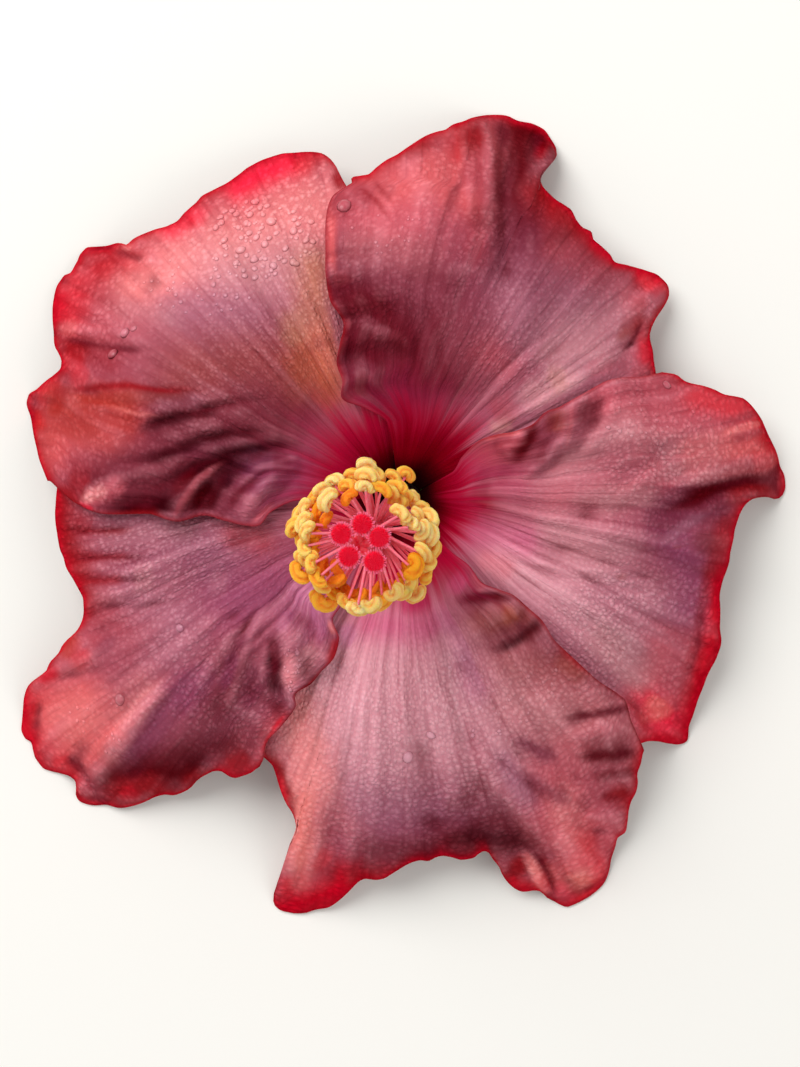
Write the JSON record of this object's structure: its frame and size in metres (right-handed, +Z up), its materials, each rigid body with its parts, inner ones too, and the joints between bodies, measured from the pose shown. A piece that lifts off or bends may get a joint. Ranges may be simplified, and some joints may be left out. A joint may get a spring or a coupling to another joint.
{
  "type": "hibiscus flower",
  "caption": "Picked tropical hibiscus bloom lying face up, with overlapping ruffled petals, a leaning staminal column, velvety stigmas, calyx, bracts and a short cut stalk.",
  "frame": {"origin": "under the middle of the whole bloom's box, on the surface that the bloom lies on", "axes": "+Z up along the flower's axis, out of the open face; +Y towards the petal named petal_top; +X towards petal_right"},
  "size_m": [0.1476, 0.153, 0.0733],
  "materials": {
    "petal": "mauve-pink petal with a crimson eye and red margins, satin with fine dew",
    "stamens": "yellow pollen on coral-pink filaments, matt",
    "pistil": "bright red velvet heads on pink arms",
    "sepal": "green leaf, fine hairs, matt",
    "stalk": "green stalk, matt, pale cut end"
  },
  "bodies": {
    "root": {"petal_upper_left": "petal", "petal_top": "petal", "petal_right": "petal", "petal_lower_right": "petal", "petal_lower_left": "petal", "staminal_column": "stamens", "pistil": "pistil", "calyx": "sepal", "epicalyx": "sepal", "pedicel": "stalk"}
  },
  "joints": []
}
